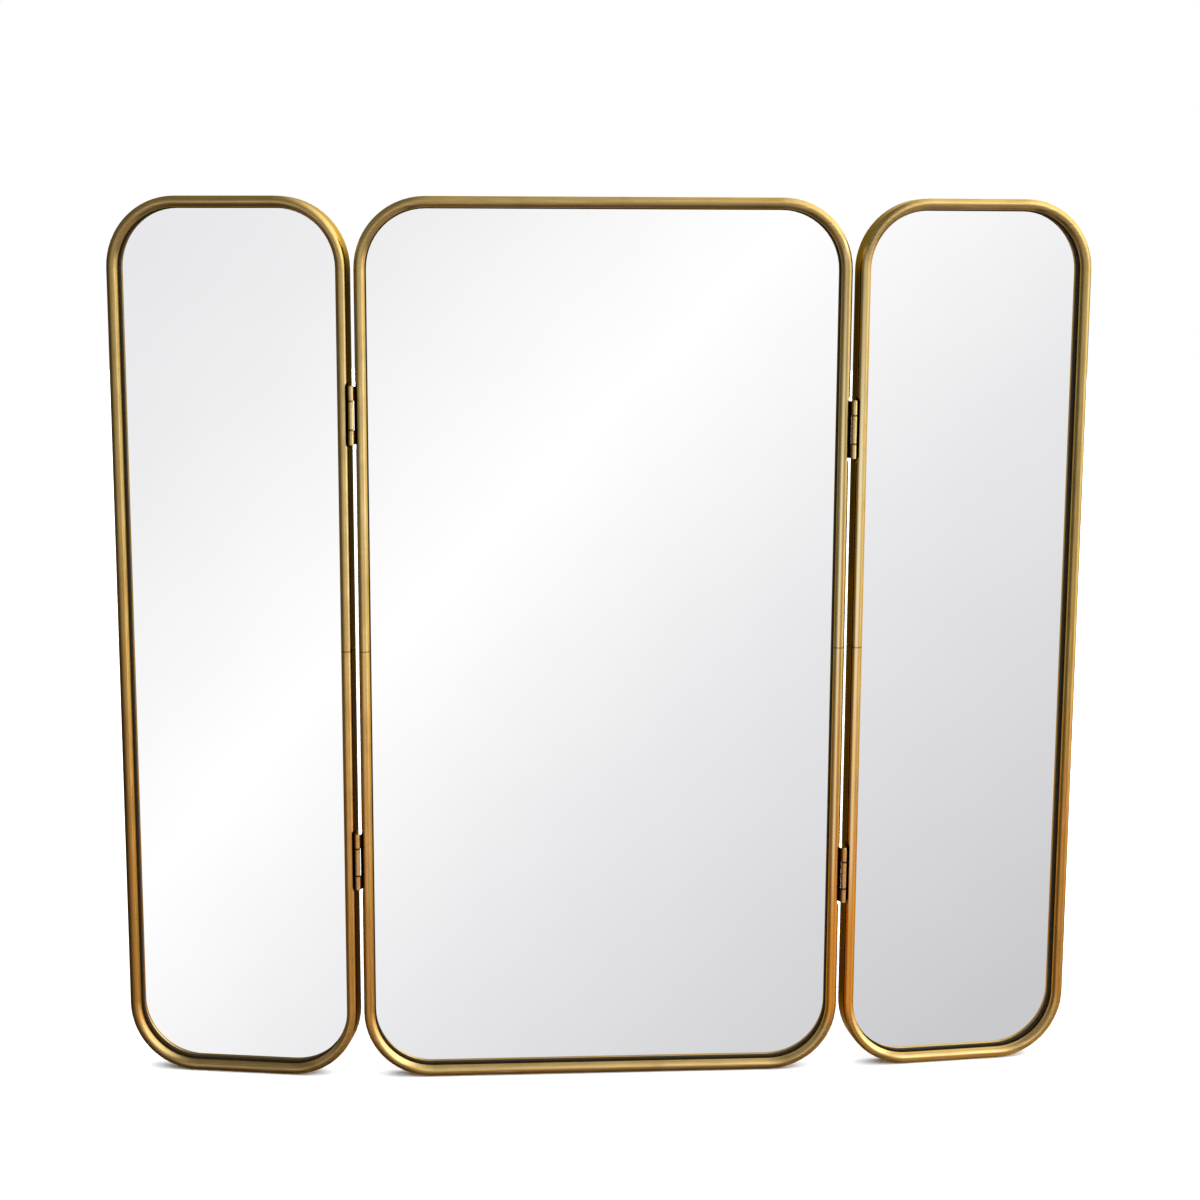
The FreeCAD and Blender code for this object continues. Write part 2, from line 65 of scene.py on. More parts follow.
class Tree:
    """A short way to write shader nodes: each call adds what it needs and returns an output."""

    def __init__(self, node_tree):
        self.tree = node_tree
        node_tree.nodes.clear()

    def add(self, kind, inputs=None, output=0, **settings):
        node = self.tree.nodes.new(kind)
        for name, value in settings.items():
            setattr(node, name, value)
        for name, value in (inputs or {}).items():
            self.put(node.inputs[name], value)
        return node.outputs[output] if node.outputs else None

    def put(self, socket, value):
        """Link an output to the socket, or set the socket's own value. A colour has no alpha here."""
        if isinstance(value, bpy.types.NodeSocket):
            self.tree.links.new(value, socket)
        elif socket.type == "RGBA":
            socket.default_value = (*value, 1)
        else:
            socket.default_value = value

    def dress(self, shader, **values):
        """Put each value into the shader's input of that name, written with _ for a space."""
        for name, value in values.items():
            self.put(shader.inputs[name.replace("_", " ")], value)

    def math(self, operation, first, second=0.0, third=0.0):
        return self.add("ShaderNodeMath", {0: first, 1: second, 2: third}, operation=operation)

    def product(self, *factors):
        result = factors[0]
        for factor in factors[1:]:
            result = self.math("MULTIPLY", result, factor)
        return result

    def away(self, value, place):
        """How far a value is from a place, on either side of it."""
        return self.math("ABSOLUTE", self.math("SUBTRACT", value, place))

    def smooth(self, value, low, high, to_low=0.0, to_high=1.0, kind="SMOOTHSTEP"):
        """value from low to high becomes to_low to to_high, and stays there outside."""
        names = {"Value": value, "From Min": low, "From Max": high, "To Min": to_low, "To Max": to_high}
        return self.add("ShaderNodeMapRange", names, interpolation_type=kind)

    def noise(self, vector, scale, detail=3.0, roughness=0.5):
        names = {"Vector": vector, "Scale": scale, "Detail": detail, "Roughness": roughness}
        return self.add("ShaderNodeTexNoise", names)

    def streaks(self, vector, scales, detail, roughness=0.5):
        """Noise with a scale of its own along each axis."""
        stretched = self.add("ShaderNodeMapping", {"Vector": vector, "Scale": scales})
        return self.noise(stretched, 1, detail, roughness)

    def blend(self, factor, first, second):
        """A number from first to second."""
        return self.add("ShaderNodeMix", {"Factor": factor, 2: first, 3: second})

    def mix(self, factor, first, second):
        """A colour from first to second."""
        names = {"Factor": factor, 6: first, 7: second}
        return self.add("ShaderNodeMix", names, output=2, data_type="RGBA")

    def ramp(self, factor, stops):
        """A colour ramp. stops: (place, (red, green, blue)), from the lowest place up."""
        output = self.add("ShaderNodeValToRGB", {"Fac": factor})
        elements = output.node.color_ramp.elements
        while len(elements) < len(stops):
            elements.new(0.5)
        for element, (place, colour) in zip(elements, stops):
            element.position = place
            element.color = (*colour, 1)
        return output

    def bump(self, height, distance, strength):
        names = {"Height": height, "Distance": distance, "Strength": strength}
        return self.add("ShaderNodeBump", names)

    def here(self):
        """Coordinates that stay with the piece: at rest, the model's own frame."""
        return self.add("ShaderNodeTexCoord", output="Object")

    def panel(self, body):
        """The panel's own coordinates: x across from the hinge line, y in depth from the pins, z up."""
        moved = self.add("ShaderNodeVectorMath", {0: self.here(), 1: PIVOT[body]}, operation="SUBTRACT")
        names = {"Vector": moved, "Angle": -WING_TILT[body]}
        return self.add("ShaderNodeVectorRotate", names, rotation_type="Z_AXIS")

    def parts(self, vector):
        """A vector's x, y and z."""
        return self.add("ShaderNodeSeparateXYZ", {0: vector}).node.outputs[:]


def material(name, build, *arguments):
    """A material whose build(tree, shader, ...) links the parts that vary into one Principled shader."""
    made = bpy.data.materials.new(name)
    made.use_nodes = True
    tree = Tree(made.node_tree)
    shader = tree.add("ShaderNodeBsdfPrincipled").node
    tree.add("ShaderNodeOutputMaterial", {"Surface": shader.outputs[0]})
    build(tree, shader, *arguments)
    return made


# Brass of the frames

# Its colour goes from copper gold at the foot to olive gold at the top: a painted reflection of a warm table,
# strongest low down.
COPPER_BRASS = (0.475, 0.212, 0.041)
GOLD_BRASS = (0.44, 0.260, 0.068)
OLIVE_BRASS = (0.385, 0.265, 0.090)
WARM_REFLECTION_BY_HEIGHT = ((0.15, COPPER_BRASS), (0.28, GOLD_BRASS), (0.42, OLIVE_BRASS))
# How far up or down, from the cloudiest to the clearest spot, the clouds move it.
PATINA_CLOUD = 0.16
# The outer and the inner half of each panel's bottom bead: painted shade on the outer half and a painted highlight
# on the inner one, darkest on the left wing.
FOOT_SHADE_AND_HIGHLIGHT = {
    "centre": ((0.26, 0.125, 0.030), (0.60, 0.42, 0.17)),
    "left_wing": ((0.22, 0.108, 0.028), (0.43, 0.30, 0.12)),
    "right_wing": ((0.44, 0.21, 0.038), (0.60, 0.42, 0.17)),
}
# Painted shade on the top bead's inner half and below it.
EAVES_SHADE_BROWN = (0.27, 0.145, 0.062)
# A painted reflection: a bright copper glow low in the right-hand gap.
COPPER_GLOW_REFLECTION = (0.68, 0.265, 0.036)
# Painted highlights along the hinged beads: in patches on the mirror's left half, and brighter all along on its
# right half. The brass one also colours the bright brushing marks.
HIGHLIGHT_COPPER = (0.76, 0.44, 0.15)
RUBBED_BRASS_AND_HIGHLIGHT = (0.80, 0.60, 0.27)
BRIGHT_HIGHLIGHT_COPPER = (0.95, 0.62, 0.27)
BRIGHT_HIGHLIGHT_BRASS = (0.98, 0.79, 0.43)
# Dirt and age, and the colours of painted shade.
# Tarnish for the stains and dark marks, and the painted shade under and behind the beads.
TARNISH_AND_SHADE = (0.12, 0.075, 0.026)
# Painted shade on the left wing's outer edge.
OUTER_SHADE_BROWN = (0.115, 0.055, 0.016)
# Painted shade in the gaps between the panels: darker above, brown low down.
GAP_DARK_SHADE = (0.050, 0.030, 0.007)
GAP_BROWN_SHADE = (0.15, 0.066, 0.013)
DEEP_SHADE = (0.020, 0.011, 0.004)
EDGE_TINT = (0.66, 0.50, 0.26)

# Where a look fades in, as smooth() takes it: from and to, then its amount at each where that isn't 0 and 1.
# Those by height are in metres above the table.
ABOVE_FOOT = (0.03, 0.06)
BELOW_TOP = (0.57, 0.54)
INTO_FOOT = (0.055, 0.012)
INTO_EAVES = (0.545, 0.580)
COPPER_BELOW = (0.19, 0.10)
COPPER_ABOVE = (0.03, 0.05)
HIGHLIGHT_ABOVE = (0.09, 0.17)
HIGHLIGHT_BELOW = (0.57, 0.40, 0.3, 1.0)
HIGHLIGHT_TO_BRASS = (0.22, 0.36)
OUTER_BELOW = (0.40, 0.22, 0.42, 0.85)
UNDERSIDE = (0.0024, 0.0004, 0.0, 0.6)
LEDGE_ABOVE = (0.0046, 0.0070, 0.0, 0.4)
LEDGE_BELOW = (0.0110, 0.0080)
BEHIND_BELOW = (0.575, 0.545, 0.25, 1.0)
GAP_SHADE_DARKENS = (0.343, 0.355)
# Those by how far inside the panel's outline: the bead is 0.0073 across.
FOOT_HALVES = (0.0034, 0.0050)
EAVES_HALF = (0.0034, 0.0058, 0, 0.75)
OUTER_EDGE = (0.0055, 0.0036)
# Those by depth behind the pins: the bead's front is at 0.0003 and the band's back edge at 0.0158.
HIGHLIGHT_FRONT = (0.0035, 0.0025)
BEHIND_BEAD = (0.0042, 0.0068, 0.0, 0.55)
IN_GAP = (0.0034, 0.0062)
OUT_OF_GAP = (0.0156, 0.0130, 0.3, 0.92)
# Those by distance across from the hinge line, or from the middle of the centre panel.
HINGED_SIDE = {"centre": (0.150, 0.155), "left_wing": (0.013, 0.009), "right_wing": (0.013, 0.009)}
RIGHT_HAND = (0.0, 0.003)
OUTER_SIDE = (-0.125, -0.150)
# Those by distance from a line.
HIGHLIGHT_WIDTH = (0.0021, 0.0004)
SEAM_WIDTH = (0.0006, 0.0002, 0, 0.6)
# Those by the value of a noise.
STAINS = (0.45, 0.75, 0, 0.22)
BRIGHT_MARKS = (0.5, 0.75, 0, 0.22)
DARK_MARKS = (0.48, 0.25, 0, 0.28)
HIGHLIGHT_PATCHES = (0.30, 0.60, 0.75, 0.4)

# Noise cells per metre of the brushing, which runs along each side.
ACROSS_BRUSHING, ALONG_BRUSHING = 1500, 45
# The lines along the hinged sides' beads that carry a painted highlight, and how strong it is at least on the
# mirror's right half.
HIGHLIGHT_LINES = {"centre": (-0.1597, 0.1588), "left_wing": (-0.0047,), "right_wing": (0.0053,)}
RIGHT_HALF_HIGHLIGHT = 0.88


def inset(tree, x, height, body):
    """How far inside the panel's rounded outline a point of its frame is."""
    aside = tree.away(x, MIDDLE[body])
    above = tree.away(height, HALF_HEIGHT)
    past_side = tree.math("MAXIMUM", tree.math("SUBTRACT", aside, HALF_WIDTH[body] - CORNER_RADIUS), 0.0)
    past_end = tree.math("MAXIMUM", tree.math("SUBTRACT", above, HALF_HEIGHT - CORNER_RADIUS), 0.0)
    past = tree.add("ShaderNodeCombineXYZ", {0: past_side, 1: past_end})
    radius = tree.add("ShaderNodeVectorMath", {0: past}, output="Value", operation="LENGTH")
    return tree.math("SUBTRACT", CORNER_RADIUS, radius)


def frame_point(tree, body):
    """What the looks of a frame go by, at any point of it."""
    where = tree.panel(body)
    x, depth, height = tree.parts(where)
    on_side = tree.product(tree.smooth(height, *ABOVE_FOOT), tree.smooth(height, *BELOW_TOP))
    upright = tree.streaks(where, (ACROSS_BRUSHING, ACROSS_BRUSHING, ALONG_BRUSHING), 3)
    level = tree.streaks(where, (ALONG_BRUSHING, ACROSS_BRUSHING, ACROSS_BRUSHING), 3)
    return SimpleNamespace(
        x=x,
        depth=depth,
        height=height,
        inside=inset(tree, x, height, body),
        on_side=on_side,
        hinged=tree.smooth(tree.math("ABSOLUTE", x), *HINGED_SIDE[body]),
        right_hand=tree.smooth(x, *RIGHT_HAND),
        cloud=tree.noise(where, 9, 4),
        patch=tree.noise(where, 42, 5, 0.6),
        grain=tree.noise(where, 1100, 3, 0.7),
        brushed=tree.blend(on_side, level, upright),
    )


def patina_and_painted_light(tree, at, body):
    """Copper gold up to olive gold as a painted reflection, moved by clouds of patina; painted shade and a painted
    highlight along the bottom bead, and painted shade under the top one.
    """
    warm = tree.math("MULTIPLY_ADD", at.cloud, PATINA_CLOUD, tree.math("SUBTRACT", at.height, PATINA_CLOUD / 2))
    # A painted warm reflection by height, shifted up or down by the clouds of patina.
    colour = tree.ramp(warm, WARM_REFLECTION_BY_HEIGHT)
    # Painted shade on the bottom bead's outer half and a painted highlight on its inner half.
    foot = tree.mix(tree.smooth(at.inside, *FOOT_HALVES), *FOOT_SHADE_AND_HIGHLIGHT[body])
    colour = tree.mix(tree.smooth(at.height, *INTO_FOOT), colour, foot)
    # Painted shade under the top bead.
    eaves_shade = tree.product(tree.smooth(at.inside, *EAVES_HALF), tree.smooth(at.height, *INTO_EAVES))
    return tree.mix(eaves_shade, colour, EAVES_SHADE_BROWN)


def painted_highlight_line(tree, at, colour, body):
    """The painted highlight line along each hinged side's bead."""
    from_line = 1.0
    for line in HIGHLIGHT_LINES[body]:
        from_line = tree.math("MINIMUM", tree.away(at.x, line), from_line)
    patches = tree.smooth(at.patch, *HIGHLIGHT_PATCHES)
    highlight = tree.product(
        tree.smooth(from_line, *HIGHLIGHT_WIDTH),
        tree.smooth(at.height, *HIGHLIGHT_ABOVE),
        tree.smooth(at.height, *HIGHLIGHT_BELOW),
        tree.smooth(at.depth, *HIGHLIGHT_FRONT),
        tree.math("MAXIMUM", patches, tree.math("MULTIPLY", at.right_hand, RIGHT_HALF_HIGHLIGHT)),
    )
    copper = tree.mix(at.right_hand, HIGHLIGHT_COPPER, BRIGHT_HIGHLIGHT_COPPER)
    brass = tree.mix(at.right_hand, RUBBED_BRASS_AND_HIGHLIGHT, BRIGHT_HIGHLIGHT_BRASS)
    return tree.mix(highlight, colour, tree.mix(tree.smooth(at.height, *HIGHLIGHT_TO_BRASS), copper, brass))


def antique_brass(tree, shader, body):
    """Olive gold at the top and copper gold below as a painted reflection, painted highlights along the hinged
    sides, and painted shade underneath, behind the beads and in the gaps.
    """
    at = frame_point(tree, body)
    colour = patina_and_painted_light(tree, at, body)
    colour = tree.mix(tree.smooth(at.patch, *STAINS), colour, TARNISH_AND_SHADE)
    colour = tree.mix(tree.smooth(at.brushed, *BRIGHT_MARKS), colour, RUBBED_BRASS_AND_HIGHLIGHT)
    colour = tree.mix(tree.smooth(at.brushed, *DARK_MARKS), colour, TARNISH_AND_SHADE)
    if body != "left_wing":
        # A painted reflection of a bright copper glow, low on the hinged beads of the right-hand gap.
        low = tree.product(tree.smooth(at.height, *COPPER_BELOW), tree.smooth(at.height, *COPPER_ABOVE))
        colour = tree.mix(tree.product(at.hinged, at.right_hand, low), colour, COPPER_GLOW_REFLECTION)
    # A painted highlight along each hinged bead.
    colour = painted_highlight_line(tree, at, colour, body)
    if body == "left_wing":
        # Painted shade on the left wing's outer bead, stronger low down.
        outer_shade = tree.product(
            tree.smooth(at.inside, *OUTER_EDGE),
            tree.smooth(at.x, *OUTER_SIDE),
            tree.smooth(at.height, *OUTER_BELOW),
        )
        colour = tree.mix(outer_shade, colour, OUTER_SHADE_BROWN)

    # Painted shade under the bottom bead, in the rebate above it, and behind the beads, lighter under the top.
    underside = tree.smooth(at.height, *UNDERSIDE)
    ledge = tree.product(tree.smooth(at.height, *LEDGE_ABOVE), tree.smooth(at.height, *LEDGE_BELOW))
    behind = tree.product(tree.smooth(at.depth, *BEHIND_BEAD), tree.smooth(at.height, *BEHIND_BELOW))
    painted_shade = tree.math("MAXIMUM", tree.math("MAXIMUM", underside, ledge), behind)
    colour = tree.mix(painted_shade, colour, TARNISH_AND_SHADE)
    # Painted shade in the gaps between the panels: brown low down and darker above.
    gap_shade_colour = tree.mix(tree.smooth(at.height, *GAP_SHADE_DARKENS), GAP_BROWN_SHADE, GAP_DARK_SHADE)
    deep = tree.product(tree.smooth(at.depth, *IN_GAP), tree.smooth(at.depth, *OUT_OF_GAP))
    gap_shade = tree.product(at.on_side, at.hinged, deep)
    colour = tree.mix(gap_shade, colour, gap_shade_colour)
    seam = tree.smooth(tree.away(at.height, HALF_HEIGHT), *SEAM_WIDTH)
    colour = tree.mix(tree.product(at.hinged, seam), colour, DEEP_SHADE)

    dull = tree.math("MAXIMUM", painted_shade, gap_shade)
    rough = tree.math("MULTIPLY_ADD", dull, 0.2, tree.math("MULTIPLY_ADD", at.patch, 0.12, 0.2))
    relief = tree.math("MULTIPLY_ADD", at.brushed, 0.5, tree.math("MULTIPLY_ADD", at.grain, 0.25, at.patch))
    tree.dress(shader, Base_Color=colour, Roughness=rough, Normal=tree.bump(relief, 0.00004, 0.4))
    tree.dress(shader, Metallic=1.0, Specular_Tint=EDGE_TINT)


# The other materials

# Painted shade beside a hinge: from ahead of the pins into the gap behind them, and out again towards the back.
BESIDE_PINS = (HINGE_Y - 0.0006, HINGE_Y + 0.0005)
BEHIND_HINGE = (0.0040, 0.0020, 0.3, 0.93)
JOINT_WIDTH = (0.0009, 0.0003, 0, 0.9)
SCREEN_PITCH = 4200.0


def hinge_brass(tree, shader, bright, dark, joints=()):
    """Rolled brass with fine marks along the sheet, dirt at the joints, and painted shade in the gap behind."""
    where = tree.here()
    _, y, height = tree.parts(where)
    patch = tree.noise(where, 320, 4, 0.6)
    rolled = tree.streaks(where, (4200, 4200, 300), 2)
    colour = tree.mix(tree.smooth(patch, 0.45, 0.75, 0, 0.6), bright, dark)
    for joint in joints:
        colour = tree.mix(tree.smooth(tree.away(height, joint), *JOINT_WIDTH), colour, DEEP_SHADE)
    # Painted shade in the gap behind the pins.
    gap_shade = tree.product(tree.smooth(y, *BESIDE_PINS), tree.smooth(y, *BEHIND_HINGE))
    colour = tree.mix(gap_shade, colour, DEEP_SHADE)
    rough = tree.math("MULTIPLY_ADD", rolled, 0.2, 0.16)
    tree.dress(shader, Base_Color=colour, Roughness=rough, Normal=tree.bump(rolled, 0.00003, 0.5))
    tree.dress(shader, Metallic=1.0, Specular_Tint=EDGE_TINT)


def mirror_glass(tree, shader):
    """Silvered glass with a faint haze, and smears that are nearly as clear as the rest."""
    where = tree.here()
    haze = tree.noise(where, 14, 3)
    silver = tree.ramp(haze, [(0.35, (0.932, 0.930, 0.932)), (0.65, (0.942, 0.940, 0.941))])
    smear = tree.noise(where, 60, 6, 0.65)
    rough = tree.smooth(smear, 0.45, 0.8, 0.008, 0.035)
    tree.dress(shader, Base_Color=silver, Metallic=1.0, Roughness=rough)


def seal_rubber(tree, shader):
    """Near-black brown rubber under a little dust."""
    dust = tree.noise(tree.here(), 700, 5, 0.7)
    colour = tree.ramp(dust, [(0.35, (0.012, 0.008, 0.003)), (0.75, (0.034, 0.023, 0.010))])
    rough = tree.smooth(dust, 0.3, 0.7, 0.55, 0.8)
    tree.dress(shader, Base_Color=colour, Roughness=rough, Normal=tree.bump(dust, 0.00008, 0.4))
    tree.dress(shader, Specular_IOR_Level=0.12)


def hardboard(tree, shader):
    """Brown pressed hardboard: cloudy, flecked with fibres, with a fine screen pattern pressed in."""
    where = tree.here()
    x, _, height = tree.parts(where)
    cloud = tree.noise(where, 7, 5, 0.6)
    fibres = tree.streaks(where, (2600, 2600, 900), 4, 0.7)
    flecks = tree.streaks(where, (700, 700, 1900), 3, 0.7)
    tone = tree.ramp(cloud, [(0.35, (0.098, 0.051, 0.025)), (0.65, (0.126, 0.067, 0.032))])
    tone = tree.mix(tree.smooth(fibres, 0.52, 0.75, 0, 0.75), tone, (0.26, 0.155, 0.080))
    tone = tree.mix(tree.smooth(flecks, 0.42, 0.28, 0, 0.8), tone, (0.035, 0.019, 0.011))
    wires = [tree.math("SINE", tree.math("MULTIPLY", way, SCREEN_PITCH)) for way in (x, height)]
    relief = tree.math("MULTIPLY_ADD", tree.product(*wires), 0.5, fibres)
    rough = tree.smooth(flecks, 0.3, 0.7, 0.5, 0.8)
    tree.dress(shader, Base_Color=tone, Roughness=rough, Normal=tree.bump(relief, 0.00012, 0.4))


def plated_steel(tree, shader, light, dull):
    """Zinc-plated steel: a faint spangle, and dull patches where the plating has greyed."""
    where = tree.here()
    spangle = tree.add("ShaderNodeTexVoronoi", {"Vector": where, "Scale": 650.0}, output="Color")
    grey = tree.add("ShaderNodeSeparateColor", {0: spangle})
    patch = tree.noise(where, 210, 4, 0.6)
    rolled = tree.streaks(where, (5200, 5200, 400), 2)
    base = tree.mix(tree.smooth(patch, 0.4, 0.7), light, dull)
    colour = tree.mix(tree.math("MULTIPLY", grey, 0.35), base, dull)
    rough = tree.math("MULTIPLY_ADD", rolled, 0.15, tree.math("MULTIPLY_ADD", patch, 0.2, 0.18))
    tree.dress(shader, Base_Color=colour, Roughness=rough, Normal=tree.bump(rolled, 0.00003, 0.4))
    tree.dress(shader, Metallic=1.0)


def foam_sheet(tree, shader):
    """Grey closed-cell foam."""
    cells = tree.add("ShaderNodeTexVoronoi", {"Vector": tree.here(), "Scale": 1600.0})
    colour = tree.ramp(cells, [(0.0, (0.14, 0.14, 0.145)), (0.6, (0.34, 0.34, 0.345))])
    tree.dress(shader, Base_Color=colour, Roughness=0.9, Normal=tree.bump(cells, 0.0003, 0.6))


# Looks by the record's material slot.
shared = {
    "mirror_glass": material("mirror_glass_look", mirror_glass),
    "seal_rubber": material("seal_rubber_look", seal_rubber),
    "foam": material("foam_look", foam_sheet),
    "backing_board": material("hardboard_look", hardboard),
    "clip_steel": material("clip_steel_look", plated_steel, (0.74, 0.72, 0.68), (0.42, 0.41, 0.39)),
    "screw_steel": material("screw_steel_look", plated_steel, (0.80, 0.78, 0.74), (0.50, 0.48, 0.45)),
    "screw_brass": material("screw_brass_look", hinge_brass, (0.52, 0.38, 0.16), (0.24, 0.16, 0.06)),
    "pin_brass": material("pin_brass_look", hinge_brass, (0.54, 0.40, 0.17), (0.30, 0.20, 0.08)),
}
# Each hinge's middle height: the upper two are gold, and the lower two copper.
HINGES = {"left_upper": 0.458, "right_upper": 0.448, "left_lower": 0.155, "right_lower": 0.1405}
KNUCKLE_JOINT = 0.0095
UPPER_TONES = ((0.58, 0.43, 0.18), (0.38, 0.26, 0.09))
LOWER_TONES = ((0.58, 0.31, 0.10), (0.36, 0.17, 0.05))

# Looks by node, in place of its slot's.
special = {}
for hinge, height in HINGES.items():
    tones = UPPER_TONES if height > HALF_HEIGHT else LOWER_TONES
    joints = (height - KNUCKLE_JOINT, height + KNUCKLE_JOINT)
    look = material("hinge_brass_" + hinge, hinge_brass, *tones, joints)
    special[hinge + "_leaf_fixed"] = special[hinge + "_leaf_wing"] = look
for panel, body in PANELS.items():
    special[panel + "_frame"] = material("antique_brass_" + panel, antique_brass, body)
for name, node in nodes.items():
    for place in node.material_slots:
        place.material = special.get(name) or shared[place.material.name.split(".")[0]]


# Screws: one piece in place of each node of screws, with a driver's cross recess in every head.
# profile: (radius, depth below the top of the head), from the rim of its flat top to its end.
# reach, half and recess: the cross's arm, half its width and its depth.

SCREW_SIDES = 32
CLIP_SCREW = {
    "profile": (
        (0.0016, 0), (0.0020, 0.00006), (0.00225, 0.00025), (0.00242, 0.00045), (0.0025, 0.0007),
        (0.0025, 0.0010), (0.00125, 0.0010), (0.00125, 0.0039),
    ),
    "reach": 0.00145,
    "half": 0.00028,
    "recess": 0.0006,
}
HINGE_SCREW = {
    "profile": ((0.0018, 0), (0.0010, 0.0008), (0.0010, 0.0023)),
    "reach": 0.0012,
    "half": 0.00022,
    "recess": 0.0004,
}
RECESS_TAPER = 0.7
SAME_POINT = 1e-6


def screw_boxes(node, body):
    """The lowest and highest corner of each screw of a node, in the panel's own axes."""
    mesh = bmesh.new()
    mesh.from_mesh(node.data)
    bmesh.ops.remove_doubles(mesh, verts=mesh.verts, dist=SAME_POINT)
    turn = Matrix.Rotation(-WING_TILT[body], 3, "Z")
    boxes = []
    left = set(mesh.verts)
    while left:
        solid = set()
        reached = {left.pop()}
        while reached:
            solid |= reached
            reached = {end for vertex in reached for edge in vertex.link_edges for end in edge.verts} - solid
        left -= solid
        points = [turn @ (vertex.co - Vector(PIVOT[body])) for vertex in solid]
        boxes.append(tuple(tuple(map(pick, zip(*points))) for pick in (min, max)))
    mesh.free()
    return sorted(boxes)


def cross_outline(reach, half, depth):
    """A cross of four equal arms, from the end of its first arm round to the left."""
    corners = [Vector(point) for point in ((reach, -half, depth), (reach, half, depth), (half, half, depth))]
    turns = [Matrix.Rotation(math.pi / 2 * quarter, 3, "Z") for quarter in range(4)]
    return [turn @ corner for turn in turns for corner in corners]


def circle(radius, height, sides):
    """Points round a level circle about the z axis."""
    turns = [2 * math.pi * step / sides for step in range(sides)]
    return [(radius * math.cos(turn), radius * math.sin(turn), height) for turn in turns]


def add_screw(mesh, place, profile, reach, half, recess):
    """A turned screw along +Z from the top of its head, with a tapered cross sunk into the head."""
    def points_at(points):
        return [mesh.verts.new(place @ Vector(point)) for point in points]

    def wall(near, far):
        for step, vertex in enumerate(near):
            mesh.faces.new((near[step - 1], vertex, far[step], far[step - 1]))

    def cap(*outlines):
        corners = [corner for outline in outlines for corner in outline]
        shape = [[corner.co for corner in outline] for outline in outlines]
        for triangle in tessellate_polygon(shape):
            mesh.faces.new([corners[index] for index in triangle])

    rings = [points_at(circle(radius, depth, SCREW_SIDES)) for radius, depth in profile]
    for near, far in zip(rings, rings[1:]):
        wall(near, far)
    mouth = points_at(cross_outline(reach, half, 0))
    base = points_at(cross_outline(reach * RECESS_TAPER, half * RECESS_TAPER, recess))
    wall(mouth, base)
    cap(rings[0], mouth)
    cap(base)
    cap(rings[-1])


def add_object(name, mesh, look):
    """A new object of one material, in the scene."""
    mesh.materials.append(look)
    made = bpy.data.objects.new(name, mesh)
    bpy.context.scene.collection.objects.link(made)
    return made


def screws(name, body, slot, shape, inward):
    """The node's screws as one piece. inward(x): the way a screw at x across the panel points."""
    mesh = bmesh.new()
    panel = Matrix.Translation(PIVOT[body]) @ Matrix.Rotation(WING_TILT[body], 4, "Z")
    for index, (low, high) in enumerate(screw_boxes(nodes[name], body)):
        middle = (Vector(low) + Vector(high)) / 2
        way = Vector(inward(middle.x))
        top = middle - way * shape["profile"][-1][1] / 2
        # Each screw's cross has stopped at an angle of its own: its number, in radians.
        aim = way.to_track_quat("Z", "X").to_matrix().to_4x4() @ Matrix.Rotation(index, 4, "Z")
        add_screw(mesh, panel @ Matrix.Translation(top) @ aim, **shape)
    bmesh.ops.recalc_face_normals(mesh, faces=mesh.faces)
    made = bpy.data.meshes.new(name + "_detail")
    mesh.to_mesh(made)
    mesh.free()
    piece = add_object(name + "_detail", made, shared[slot])
    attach(piece, body)
    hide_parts(name)


for panel, body in PANELS.items():
    outward = 1 if body == "centre" else -1
    screws(panel + "_clip_screws", body, "screw_steel", CLIP_SCREW, lambda x: (0, -1, 0))
    screws(panel + "_hinge_screws", body, "screw_brass", HINGE_SCREW, lambda x: (-math.copysign(outward, x), 0, 0))


# Stage: a pale floor under a dome that shows white to the camera and lights nothing

STAGE_RADIUS = 9.0
DOME_RADIUS = STAGE_RADIUS * 0.999
RINGS = 24
SECTORS = 64


def stage_piece(name, points, faces, look):
    """A piece of the stage, which shows in no reflection."""
    mesh = bpy.data.meshes.new(name)
    mesh.from_pydata(points, [], faces)
    piece = add_object(name, mesh, look)
    piece.visible_glossy = False
    return piece


def pale_floor(tree, shader):
    cloud = tree.noise(tree.here(), 3, 4)
    colour = tree.ramp(cloud, [(0.3, (0.86, 0.86, 0.86)), (0.7, (0.90, 0.90, 0.90))])
    tree.dress(shader, Base_Color=colour, Roughness=0.8)


def lit_backdrop(tree, shader):
    tree.dress(shader, Base_Color=(0, 0, 0), Specular_IOR_Level=0.0)
    tree.dress(shader, Emission_Color=(1, 1, 1), Emission_Strength=1.0)


def dome_ring(step):
    rise = math.pi / 2 * step / RINGS
    return circle(DOME_RADIUS * math.cos(rise), STAGE_RADIUS * math.sin(rise), SECTORS)


def dome_face(step, side):
    near, far = side, (side + 1) % SECTORS
    low, high = step * SECTORS, (step + 1) * SECTORS
    return low + near, low + far, high + far, high + near


stage_piece("floor", circle(STAGE_RADIUS, 0, SECTORS), [range(SECTORS)], material("floor_look", pale_floor))
backdrop = stage_piece(
    "backdrop",
    [point for step in range(RINGS) for point in dome_ring(step)],
    [dome_face(step, side) for step in range(RINGS - 1) for side in range(SECTORS)],
    material("backdrop_look", lit_backdrop),
)
backdrop.visible_diffuse = False
backdrop.visible_shadow = False
backdrop.visible_transmission = False


# Light: a soft room that is bright in front of the mirror and above it, and dim behind and below

# A screen in front of each panel: where it starts and ends to the right of straight ahead, in radians,
# and how far the diagonal that shades them all runs across it.
SCREENS = ((-0.508, -0.406, 0.222), (-0.046, 0.184, 0.480), (0.380, 0.503, 0.218))
# From and to by rise (height over level distance), and how far the diagonal has run down at each.
SCREEN_DROP = (0.15, -0.45, 0.08, 1.28)
DIAGONAL = 2.2
